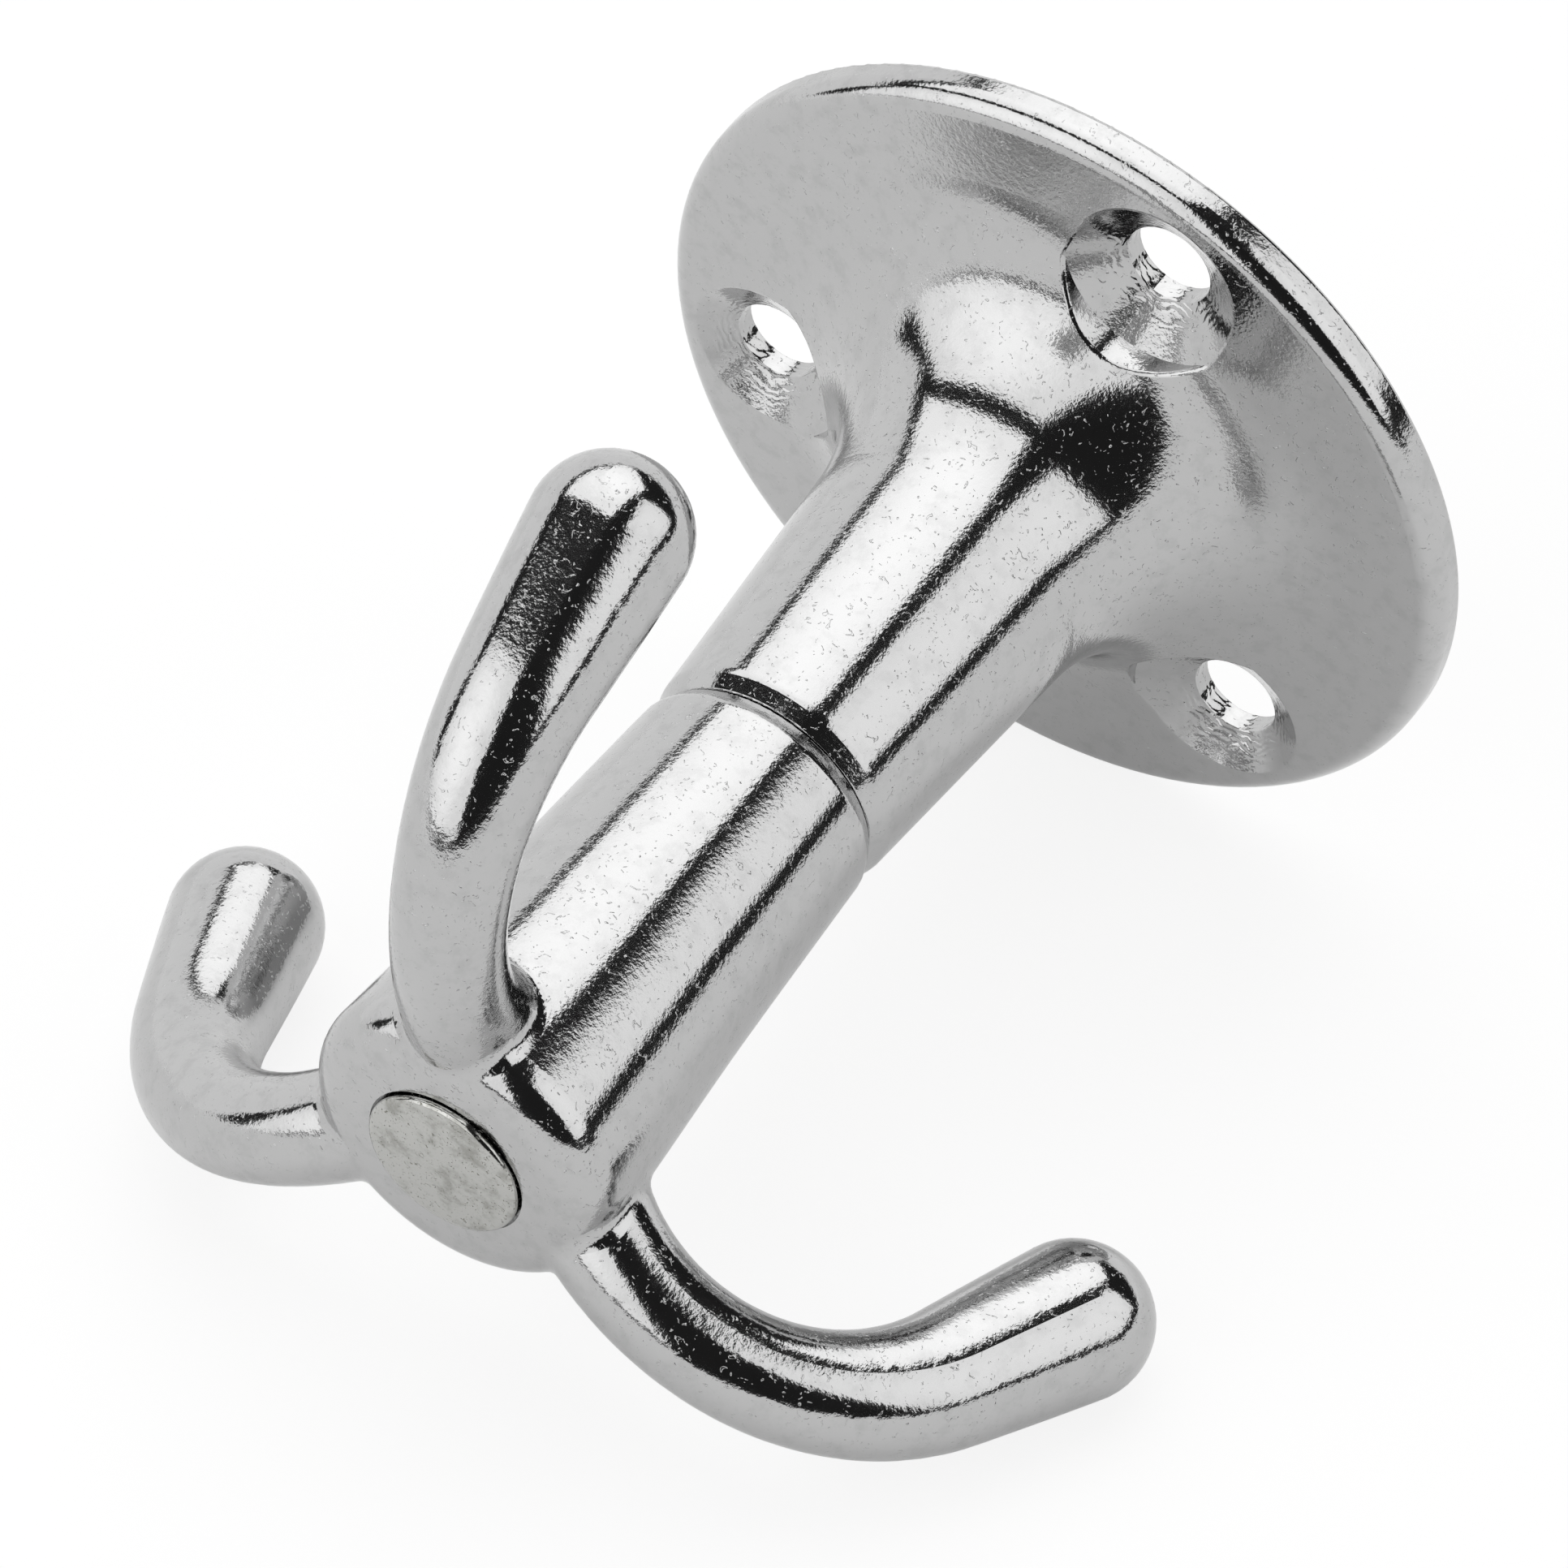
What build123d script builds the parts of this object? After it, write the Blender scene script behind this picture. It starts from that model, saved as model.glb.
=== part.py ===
from build123d import *
import math
import os

# A swivel hook with three prongs. A round flange with a trumpet-shaped stem is screwed
# up under a shelf or on a wall. A sleeve with three prongs turns on the end of the stem,
# held by a long rivet through both castings.
# Millimetres. The mounting face is at Z = 0 and the swivel axis is the Z axis.

# Flange
flange_diameter = 50.0
flange_edge_height = 2.5
flange_edge_round = 1.3
flange_back_round = 0.4
flange_face_slope = 2.5  # degrees, the face rises towards the stem
flare_radius = 11.5

# Stem
stem_height = 31.6
stem_end_diameter = 14.7
stem_taper = 3.7  # degrees a side
stem_end_round = 1.1

# Seam between the stem and the sleeve
seam_gap = 0.1
seam_groove_depth = 0.45
seam_corner_round = 0.15

# Screw holes
screw_hole_count = 3
screw_circle_diameter = 37.6
screw_hole_diameter = 5.2
screw_hole_land = 1.3
countersink_diameter = 11.0
countersink_angle = 118.0
countersink_rim_round = 0.3
first_hole_angle = -90.0

# Core in the back of the flange
core_mouth_diameter = 22.0
core_floor_diameter = 12.0
core_depth = 8.0
core_round = 1.0

# Sleeve and its head
sleeve_length = 30.2
sleeve_top_diameter = 14.8
sleeve_taper = 3.0  # degrees a side, wider towards the head
sleeve_lip_round = 1.0
head_length = 16.0
head_taper = 4.5  # degrees a side
head_waist_radius = 200.0
head_corner_radius = 2.4

# Prongs, measured on their centre line
prong_count = 3
prong_turn = 22.9  # degrees from the first screw hole to the first prong
prong_bend_radius = 14.7
prong_bend_offset = 14.35  # from the swivel axis to the middle of the bend
prong_crown_depth = 1.9  # from the end face back to the outermost point of the bend
prong_start_offset = 5.0
prong_lean = 23.3  # degrees from the swivel axis at the tip
prong_straight = 8.1
prong_root_diameter = 7.4
prong_neck_diameter = 6.1
prong_waist_diameter = 7.4
prong_tip_diameter = 8.9
prong_neck_place = 0.35  # share of the centre line's length
prong_waist_place = 0.7
prong_root_fillet = 1.3

# Rivet
shank_diameter = 6.0
shank_running_clearance = 0.05
shank_press = 0.01
rivet_head_diameter = 9.3
rivet_head_height = 0.5  # proud of the end face at its edge
rivet_head_dome = 0.15
rivet_head_round = 0.35
rivet_seat_depth = 1.0
rivet_seat_clearance = 0.15
rivet_tail_diameter = 8.6
rivet_tail_height = 1.8
rivet_tail_round = 1.2

# Places along the swivel axis
sleeve_start = stem_height + seam_gap
end_face = sleeve_start + sleeve_length
rivet_seat = end_face - rivet_seat_depth
rivet_underside = rivet_seat + seam_gap
rivet_edge = end_face + rivet_head_height

standing = (Align.CENTER, Align.CENTER, Align.MIN)


def lean(angle):
    """Sideways run for each millimetre along the axis."""
    return math.tan(math.radians(angle))


def around(count, first_angle):
    """Angles evenly spaced round the swivel axis."""
    return [first_angle + 360.0 * index / count for index in range(count)]


def turned(points, radii):
    """Solid turned about the Z axis from an outline that starts and ends on the axis."""
    with BuildPart() as solid:
        with BuildSketch(Plane.XZ):
            with BuildLine():
                outline = FilletPolyline(*points, radius=radii)
                Line(outline @ 1, outline @ 0)
            make_face()
        revolve(axis=Axis.Z)
    return solid.part


def base_casting():
    """Flange, flare and tapered stem, cored at the back, with countersunk screw holes."""
    flange_radius = flange_diameter / 2
    end_radius = stem_end_diameter / 2
    face_rise = lean(flange_face_slope)
    stem_lean = lean(stem_taper)
    # The flange's face and the stem's side meet here before the flare rounds them.
    rise_at_axis = flange_edge_height + face_rise * flange_radius
    root_radius = end_radius + stem_lean * (stem_height - rise_at_axis)
    corner_radius = root_radius / (1 - face_rise * stem_lean)
    corner_height = rise_at_axis - face_rise * corner_radius
    casting = turned(
        [
            (0, 0),
            (flange_radius, 0),
            (flange_radius, flange_edge_height),
            (corner_radius, corner_height),
            (end_radius + stem_lean * stem_end_round, stem_height - stem_end_round),
            (end_radius - seam_groove_depth, stem_height),
            (0, stem_height),
        ],
        [flange_back_round, flange_edge_round, flare_radius, stem_end_round, seam_corner_round],
    )

    core = Cone(core_mouth_diameter / 2, core_floor_diameter / 2, core_depth, align=standing)
    casting -= fillet(core.edges().sort_by(Axis.Z)[-1], core_round)
    casting -= Cylinder(shank_diameter / 2 - shank_press, stem_height, align=standing)

    hole_radius = screw_hole_diameter / 2
    sink_radius = countersink_diameter / 2
    sink_depth = (sink_radius - hole_radius) / lean(countersink_angle / 2)
    cutter = CounterSinkHole(hole_radius, sink_radius, stem_height / 2, countersink_angle)
    place = Pos(screw_circle_diameter / 2, 0, screw_hole_land + sink_depth)
    angles = around(screw_hole_count, first_hole_angle)
    cutters = [Rot(0, 0, angle) * place * cutter for angle in angles]
    drilled = casting - cutters
    rims = new_edges(casting, *cutters, combined=drilled).filter_by(GeomType.BSPLINE)
    return fillet(rims, countersink_rim_round)


def prong():
    """One round prong: a bend and a straight that thickens to a ball at the tip."""
    bend_centre = (prong_bend_offset, end_face - prong_crown_depth - prong_bend_radius)
    inward = prong_bend_offset - prong_start_offset
    start_angle = 90 + math.degrees(math.asin(inward / prong_bend_radius))
    with BuildLine(Plane.XZ) as route:
        bend = CenterArc(bend_centre, prong_bend_radius, start_angle, prong_lean - start_angle)
        Line(bend @ 1, bend @ 1 + (bend % 1) * prong_straight)
    path = route.wire()
    widths = {
        0.0: prong_root_diameter,
        prong_neck_place: prong_neck_diameter,
        prong_waist_place: prong_waist_diameter,
        1.0: prong_tip_diameter,
    }
    sections = []
    for place, width in widths.items():
        across = Plane(origin=path @ place, z_dir=path % place, x_dir=(0, 1, 0))
        sections.append(across * Circle(width / 2))
    arm = sweep(sections, path=path, multisection=True)
    return arm + Pos(path @ 1) * Sphere(prong_tip_diameter / 2)


def hook_body():
    """Sleeve, head and prongs, one casting that turns on the rivet's shank."""
    top_radius = sleeve_top_diameter / 2
    lip_end = sleeve_start + sleeve_lip_round
    head_start = end_face - head_length
    waist_radius = top_radius + lean(sleeve_taper) * (head_start - lip_end)
    sleeve = turned(
        [
            (0, sleeve_start),
            (top_radius - seam_groove_depth, sleeve_start),
            (top_radius, lip_end),
            (waist_radius, head_start),
            (waist_radius + lean(head_taper) * head_length, end_face),
            (0, end_face),
        ],
        [seam_corner_round, sleeve_lip_round, head_waist_radius, head_corner_radius],
    )
    single = prong()
    angles = around(prong_count, first_hole_angle + prong_turn)
    arms = [Rot(0, 0, angle) * single for angle in angles]
    body = sleeve + arms
    body = fillet(new_edges(sleeve, *arms, combined=body), prong_root_fillet)
    bore_radius = shank_diameter / 2 + shank_running_clearance
    seat_radius = rivet_head_diameter / 2 + rivet_seat_clearance
    body -= Pos(0, 0, sleeve_start) * Cylinder(bore_radius, sleeve_length, align=standing)
    body -= Pos(0, 0, rivet_seat) * Cylinder(seat_radius, sleeve_length, align=standing)
    return body


def rivet():
    """Long rivet: a low domed head, a plain shank and a rounded tail in the core."""
    head_radius = rivet_head_diameter / 2
    head = Pos(0, 0, rivet_underside) * Cylinder(
        head_radius, rivet_edge + rivet_head_dome - rivet_underside, align=standing
    )
    dome_radius = (head_radius**2 + rivet_head_dome**2) / (2 * rivet_head_dome)
    head &= Pos(0, 0, rivet_edge + rivet_head_dome - dome_radius) * Sphere(dome_radius)
    rims = head.edges().group_by(SortBy.LENGTH)[-1]
    head = fillet(rims.sort_by(Axis.Z)[-1], rivet_head_round)

    tail_start = core_depth - rivet_tail_height
    tail = Pos(0, 0, tail_start) * Cylinder(
        rivet_tail_diameter / 2, rivet_tail_height, align=standing
    )
    tail = fillet(tail.edges().sort_by(Axis.Z)[0], rivet_tail_round)

    shank_length = rivet_underside - core_depth
    shank = Pos(0, 0, core_depth) * Cylinder(shank_diameter / 2, shank_length, align=standing)
    return tail + shank + head


os.makedirs("parts", exist_ok=True)
pieces = {"base": base_casting(), "hook_body": hook_body(), "rivet": rivet()}
for name, shape in pieces.items():
    export_step(shape, "parts/" + name + ".step")
    box = shape.bounding_box()
    print(name, "solids", len(shape.solids()), "volume", round(shape.volume, 1), "size", box.size)
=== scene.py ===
import math

import bpy
import numpy as np
from mathutils import Matrix, Vector

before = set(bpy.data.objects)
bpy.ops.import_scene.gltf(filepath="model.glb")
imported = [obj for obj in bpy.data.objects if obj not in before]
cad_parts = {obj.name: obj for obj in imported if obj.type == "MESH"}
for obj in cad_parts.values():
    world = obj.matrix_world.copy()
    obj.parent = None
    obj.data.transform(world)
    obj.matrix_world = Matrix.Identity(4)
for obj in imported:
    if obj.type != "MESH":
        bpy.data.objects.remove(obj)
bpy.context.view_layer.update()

# A three-prong swivel hook, lying on its side on a white table, under three large softboxes.
# The model's own frame stays as it is, so the table is the tilted one.

mm = 0.001
white = (1, 1, 1, 1)
print("frame loaded:", ", ".join(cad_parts))


def hexToLinear(code):
    # sRGB hex to linear values
    channels = [int(code[i:i + 2], 16) / 255 for i in (1, 3, 5)]
    return [c / 12.92 if c <= 0.04045 else ((c + 0.055) / 1.055) ** 2.4 for c in channels] + [1.0]


def addNode(tree, kind, settings=None, values=None, links=None):
    # one node with its settings, its socket values and the sockets that feed it
    node = tree.nodes.new(kind)
    for name, value in (settings or {}).items():
        setattr(node, name, value)
    for socket, value in (values or {}).items():
        node.inputs[socket].default_value = value
    for socket, source in (links or {}).items():
        tree.links.new(source, node.inputs[socket])
    return node


def newMaterial(name):
    material = bpy.data.materials.new(name)
    material.use_nodes = True
    material.node_tree.nodes.clear()
    return material, material.node_tree


# Camera: a long lens, looking down at the table
cameraView = {
    "eye": (-34.72, -461.67, 329.59),  # mm
    "forward": (0.06152, 0.83771, -0.54265),
    "up": (0.61316, -0.46071, -0.64170),
    "lens": 235.24,  # mm
    "sensor": 36.0,  # mm
    "clipStart": 10.0,  # mm
}

# Table: a fraction of a millimetre under the flange's rim and the prongs that rest on it
table = {
    "up": (0.3896, -0.9133, -0.1190),
    "depth": 25.2,  # mm from the swivel axis's foot down to the table
    "waist": 30.0,  # mm up the swivel axis to the point above the sheet's middle
    "size": 900.0,  # mm
    "paper": "#f3f3f3",
    "glow": 1.03,  # strength at which the paper clips to white
    "glowSeen": 0.82,  # share of that glow to the eye, where the shadow is faint
    "glowMirrored": 0.20,  # share in the metal, where the shadow is deeper
}

# Softboxes: corners are (azimuth from the camera's side, elevation) in degrees. A box is
# brightest in its middle, and a strength of 1 is white.
topBox = {"corners": [(-116, 33), (163, 28), (127, 42), (5, 65)], "middle": 1.82, "edge": 1.50}
leftBox = {"corners": [(-105, 33), (-93, 0), (-18, 2), (-6, 56)], "middle": 1.66, "edge": 1.28}
rightBox = {"corners": [(35, 48), (47, 4), (103, 9), (108, 50)], "middle": 1.38, "edge": 1.20}

studio = {
    "dark": 0.018,  # strength of the room between the lit panels
    "edgeSoftness": 0.012,  # half the width of a panel's soft border, in radians
    "fallAngle": 32.0,  # degrees from a softbox's middle to its dimmest part
    "backdropTop": 32.0,  # degrees, the backdrop's upper edge where it is highest
    "backdropMiddle": -160.0,  # azimuth of that highest place
    "backdropSide": -107.0,  # azimuth where the backdrop starts on the left
    "tableFront": 3.0,  # degrees below the horizon at which the table ends in front
    "tableRight": 2.0,  # and on the right
}


def unit(vector):
    return np.array(vector, float) / np.linalg.norm(vector)


def buildCamera():
    data = bpy.data.cameras.new("camera")
    camera = bpy.data.objects.new("camera", data)
    bpy.context.scene.collection.objects.link(camera)
    forward = Vector(cameraView["forward"]).normalized()
    right = forward.cross(Vector(cameraView["up"])).normalized()
    upward = right.cross(forward)
    turn = Matrix((right, upward, -forward)).transposed()
    camera.matrix_world = Matrix.Translation(Vector(cameraView["eye"]) * mm) @ turn.to_4x4()
    data.lens = cameraView["lens"]
    data.sensor_width = cameraView["sensor"]
    data.clip_start = cameraView["clipStart"] * mm
    bpy.context.scene.camera = camera


def studioAxes():
    # up from the table, level towards the camera, and level to the camera's right
    up = unit(table["up"])
    toCamera = -unit(cameraView["forward"])
    front = unit(toCamera - (toCamera @ up) * up)
    return up, front, np.cross(up, front)


def studioDirection(azimuth, elevation):
    up, front, right = studioAxes()
    a, e = math.radians(azimuth), math.radians(elevation)
    return math.cos(e) * (math.cos(a) * front + math.sin(a) * right) + math.sin(e) * up


def buildWorld():
    # Camera rays see white. The metal sees the table, a backdrop, three softboxes and a dark room.
    world = bpy.data.worlds.new("studio")
    bpy.context.scene.world = world
    world.use_nodes = True
    tree = world.node_tree
    tree.nodes.clear()
    direction = addNode(tree, "ShaderNodeTexCoord").outputs["Generated"]
    soft = studio["edgeSoftness"]

    def inside(normals):
        # 1 on the side that every normal points to, with a soft border along the great circles
        least = None
        for normal in normals:
            dot = addNode(tree, "ShaderNodeVectorMath", {"operation": "DOT_PRODUCT"},
                          {1: tuple(normal)}, {0: direction}).outputs["Value"]
            least = dot if least is None else addNode(
                tree, "ShaderNodeMath", {"operation": "MINIMUM"}, None, {0: least, 1: dot}).outputs[0]
        return addNode(tree, "ShaderNodeMapRange", {"interpolation_type": "SMOOTHSTEP"},
                       {"From Min": -soft, "From Max": soft}, {"Value": least}).outputs["Result"]

    def softbox(box):
        # a flat panel: inside all the planes through the hook and two neighbouring corners
        places = [studioDirection(*corner) for corner in box["corners"]]
        middle = unit(sum(places))
        normals = [unit(np.cross(one, other)) for one, other in zip(places, places[1:] + places[:1])]
        mask = inside([normal if normal @ middle > 0 else -normal for normal in normals])
        closeness = addNode(tree, "ShaderNodeVectorMath", {"operation": "DOT_PRODUCT"},
                            {1: tuple(middle)}, {0: direction}).outputs["Value"]
        gain = addNode(tree, "ShaderNodeMapRange", None,
                       {"From Min": math.cos(math.radians(studio["fallAngle"])), "From Max": 1.0,
                        "To Min": box["edge"], "To Max": box["middle"]}, {"Value": closeness})
        return addNode(tree, "ShaderNodeMath", {"operation": "MULTIPLY"}, None,
                       {0: mask, 1: gain.outputs[0]}).outputs[0]

    up, front, right = studioAxes()
    top, frontDip, rightDip = [
        math.radians(studio[name]) for name in ("backdropTop", "tableFront", "tableRight")]
    away = studioDirection(studio["backdropMiddle"], 0)
    backdrop = inside([away * math.sin(top) - up * math.cos(top),
                       studioDirection(studio["backdropSide"] - 90, 0)])
    tableTop = inside([-(up * math.cos(frontDip) + front * math.sin(frontDip)),
                       -(up * math.cos(rightDip) + right * math.sin(rightDip))])
    level = None
    for panel in (backdrop, tableTop, softbox(topBox), softbox(leftBox), softbox(rightBox)):
        level = panel if level is None else addNode(
            tree, "ShaderNodeMath", {"operation": "MAXIMUM"}, None, {0: level, 1: panel}).outputs[0]
    level = addNode(tree, "ShaderNodeMath", {"operation": "MAXIMUM"}, {1: studio["dark"]}, {0: level})

    room = addNode(tree, "ShaderNodeBackground", None, {"Color": white},
                   {"Strength": level.outputs[0]})
    plain = addNode(tree, "ShaderNodeBackground", None, {"Color": white, "Strength": 1.0})
    rays = addNode(tree, "ShaderNodeLightPath")
    mix = addNode(tree, "ShaderNodeMixShader", None, None,
                  {0: rays.outputs["Is Camera Ray"], 1: room.outputs[0], 2: plain.outputs[0]})
    addNode(tree, "ShaderNodeOutputWorld", None, None, {"Surface": mix.outputs[0]})


def buildTable():
    # A white sheet under the hook, which keeps its shadow and is clear from behind.
    half = table["size"] / 2 * mm
    up, front, right = studioAxes()
    waist = np.array((0, 0, table["waist"] * mm))
    centre = -up * table["depth"] * mm + waist - up * (up @ waist)
    corners = [centre + half * (a * front + b * right)
               for a, b in ((-1, -1), (1, -1), (1, 1), (-1, 1))]
    mesh = bpy.data.meshes.new("table_sheet")
    mesh.from_pydata([tuple(corner) for corner in corners], [], [(0, 1, 2, 3)])
    sheet = bpy.data.objects.new("table_sheet", mesh)
    bpy.context.scene.collection.objects.link(sheet)
    if Vector(mesh.polygons[0].normal).dot(Vector(up)) < 0:
        mesh.flip_normals()

    # White paper sweep: matte and so bright that only the hook's shadow shows on it
    material, tree = newMaterial("white_paper_sweep")
    diffuse = addNode(tree, "ShaderNodeBsdfDiffuse", None, {"Color": hexToLinear(table["paper"])})
    glow = addNode(tree, "ShaderNodeEmission", None, {"Color": white, "Strength": table["glow"]})
    rays = addNode(tree, "ShaderNodeLightPath")
    share = addNode(tree, "ShaderNodeMapRange", None,
                    {"To Min": table["glowMirrored"], "To Max": table["glowSeen"]},
                    {"Value": rays.outputs["Is Camera Ray"]})
    paper = addNode(tree, "ShaderNodeMixShader", None, None,
                    {0: share.outputs[0], 1: diffuse.outputs[0], 2: glow.outputs[0]})
    clear = addNode(tree, "ShaderNodeBsdfTransparent")
    facing = addNode(tree, "ShaderNodeNewGeometry")
    surface = addNode(tree, "ShaderNodeMixShader", None, None,
                      {0: facing.outputs["Backfacing"], 1: paper.outputs[0], 2: clear.outputs[0]})
    addNode(tree, "ShaderNodeOutputMaterial", None, None, {"Surface": surface.outputs[0]})
    mesh.materials.append(material)


# Bright nickel plate over a tumbled zinc casting: a mirror with fine orange peel and pinholes.
# Its marks come out as coarse as the real ones, 0.1 to 0.4 mm. Sizes are those of the noise that
# makes them and depths are relief, both in mm. A share gives the noise levels where a mark
# starts and is full.
nickelPlate = {
    "colour": "#c0c0c0",
    "stainColour": "#b8b8b8",
    "stainSize": 1.3,
    "stainShare": (0.46, 0.70),
    "roughness": 0.09,
    "waveSize": 3.5,
    "waveDepth": 0.008,
    "peelSize": 0.28,
    "peelDepth": 0.012,
    "fleckSize": 0.42,
    "fleckShare": (0.67, 0.75),
    "fleckDepth": 0.022,
    "fleckRoughness": 0.12,
    # painted shade: the pinholes are coloured darker, as the shade inside them
    "fleckShadeColour": "#bcbcbc",
}

# Plated steel rivet head: pressed flatter than the castings and a little duller, with faint
# brownish stains
rivetSteel = {
    "colour": "#bebebb",
    "stainColour": "#9d9d98",
    "stainSize": 1.7,
    "stainShare": (0.46, 0.70),
    "roughness": 0.13,
    "waveSize": 2.5,
    "waveDepth": 0.012,
    "peelSize": 0.5,
    "peelDepth": 0.006,
    "fleckSize": 0.22,
    "fleckShare": (0.64, 0.72),
    "fleckDepth": 0.008,
    "fleckRoughness": 0.42,
    # painted shade in tiny pits, tinted brown like the stains: the specks are coloured darker
    "fleckShadeColour": "#84847c",
}

# How each mark's noise is broken up, on both metals
markNoise = {
    "wave": {"Detail": 1.0},
    "peel": {"Detail": 2.0, "Roughness": 0.6},
    "fleck": {"Detail": 1.0, "Distortion": 1.6},  # bent into short curved nicks
    "stain": {"Detail": 4.0, "Roughness": 0.65},
}

# Rings that the countersinking tool left in the screw holes. They are about 0.25 mm apart, and
# are drawn about twice as coarse, so that they show.
toolRings = {
    "circle": 18.8,  # mm from the swivel axis to a hole's axis
    "angles": (-90, 30, 150),  # degrees round the swivel axis
    "reach": 4.6,  # mm from the hole's axis, where they have faded out
    "strong": 2.7,  # mm from the hole's axis, inside which they are at their deepest
    "bottom": 0.05,  # mm above the mounting face, where they start
    "pitch": 0.75,  # mm of radius and climb together, which is about 0.5 mm along the wall
    "climb": 1.4,  # rings follow the radius plus this many times the height
    "wander": 3.4,  # mm, how far the noise pushes a ring out of its even place
    "wanderNoise": {"Scale": 0.6, "Detail": 2.0},  # scale is per mm
    "depth": 0.007,  # mm
}


def ringRelief(tree, place, rings):
    # sine of the way down the countersink, where the nearest hole is within reach
    flat = addNode(tree, "ShaderNodeVectorMath", {"operation": "MULTIPLY"}, {1: (1, 1, 0)}, {0: place})
    radius = None
    for angle in rings["angles"]:
        turn = math.radians(angle)
        centre = (rings["circle"] * math.cos(turn), rings["circle"] * math.sin(turn), 0)
        away = addNode(tree, "ShaderNodeVectorMath", {"operation": "DISTANCE"}, {1: centre},
                       {0: flat.outputs[0]}).outputs["Value"]
        radius = away if radius is None else addNode(
            tree, "ShaderNodeMath", {"operation": "MINIMUM"}, None, {0: radius, 1: away}).outputs[0]
    height = addNode(tree, "ShaderNodeSeparateXYZ", None, None, {0: place}).outputs["Z"]
    down = addNode(tree, "ShaderNodeMath", {"operation": "MULTIPLY_ADD"}, {1: rings["climb"]},
                   {0: height, 2: radius})
    noise = addNode(tree, "ShaderNodeTexNoise", None, rings["wanderNoise"], {"Vector": place})
    shaken = addNode(tree, "ShaderNodeMath", {"operation": "MULTIPLY_ADD"}, {1: rings["wander"]},
                     {0: noise.outputs["Fac"], 2: down.outputs[0]})
    turns = addNode(tree, "ShaderNodeMath", {"operation": "MULTIPLY"},
                    {1: 2 * math.pi / rings["pitch"]}, {0: shaken.outputs[0]})
    ridge = addNode(tree, "ShaderNodeMath", {"operation": "SINE"}, None, {0: turns.outputs[0]})
    within = addNode(tree, "ShaderNodeMapRange", {"interpolation_type": "SMOOTHSTEP"},
                     {"From Min": rings["reach"], "From Max": rings["strong"]}, {"Value": radius})
    above = addNode(tree, "ShaderNodeMath", {"operation": "GREATER_THAN"}, {1: rings["bottom"]},
                    {0: height})
    mask = addNode(tree, "ShaderNodeMath", {"operation": "MULTIPLY"}, None,
                   {0: within.outputs[0], 1: above.outputs[0]})
    return addNode(tree, "ShaderNodeMath", {"operation": "MULTIPLY"}, None,
                   {0: ridge.outputs[0], 1: mask.outputs[0]}).outputs[0]


def platedMaterial(name, look, rings=None):
    # metal with waves, orange peel, flecks and rings as relief, stains in its colour, and the flecks'
    # pits darkened in colour as painted shade
    material, tree = newMaterial(name)
    place = addNode(tree, "ShaderNodeVectorMath", {"operation": "SCALE"}, {"Scale": 1 / mm},
                    {0: addNode(tree, "ShaderNodeTexCoord").outputs["Object"]}).outputs[0]
    waves, peel, grit, cloud = [
        addNode(tree, "ShaderNodeTexNoise", None,
                {"Scale": 1 / look[mark + "Size"], **markNoise[mark]},
                {"Vector": place}).outputs["Fac"]
        for mark in ("wave", "peel", "fleck", "stain")]
    fleck, stain = [
        addNode(tree, "ShaderNodeMapRange", {"interpolation_type": "SMOOTHSTEP"},
                {"From Min": start, "From Max": full}, {"Value": noise}).outputs[0]
        for noise, (start, full) in ((grit, look["fleckShare"]), (cloud, look["stainShare"]))]

    reliefs = [(look["waveDepth"], waves), (look["peelDepth"], peel), (look["fleckDepth"], fleck)]
    if rings:
        reliefs.append((rings["depth"], ringRelief(tree, place, rings)))
    normal = None
    for depth, height in reliefs:
        feeds = {"Height": height} if normal is None else {"Height": height, "Normal": normal}
        normal = addNode(tree, "ShaderNodeBump", None, {"Strength": 1.0, "Distance": depth * mm},
                         feeds).outputs[0]

    colour = addNode(tree, "ShaderNodeMix", {"data_type": "RGBA"},
                     {"A": hexToLinear(look["colour"]), "B": hexToLinear(look["stainColour"])},
                     {"Factor": stain})
    # painted shade: the flecks are darkened in colour, as the shade inside the pits
    stainsAndPitShade = addNode(tree, "ShaderNodeMix", {"data_type": "RGBA"},
                      {"B": hexToLinear(look["fleckShadeColour"])},
                      {"Factor": fleck, "A": colour.outputs["Result"]})
    roughness = addNode(tree, "ShaderNodeMapRange", None,
                        {"To Min": look["roughness"], "To Max": look["fleckRoughness"]},
                        {"Value": fleck})
    shader = addNode(tree, "ShaderNodeBsdfPrincipled", None, {"Metallic": 1.0},
                     {"Base Color": stainsAndPitShade.outputs["Result"], "Roughness": roughness.outputs[0],
                      "Normal": normal})
    addNode(tree, "ShaderNodeOutputMaterial", None, None, {"Surface": shader.outputs[0]})
    return material


buildCamera()
buildWorld()
buildTable()
print("studio ready")

materials = {
    "base": platedMaterial("nickel_plated_zinc_drilled", nickelPlate, toolRings),
    "hook_body": platedMaterial("nickel_plated_zinc", nickelPlate),
    "rivet": platedMaterial("plated_rivet_steel", rivetSteel),
}
for name, material in materials.items():
    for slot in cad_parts[name].material_slots:
        slot.material = material
print("materials set")

bpy.context.scene.view_settings.view_transform = "Standard"
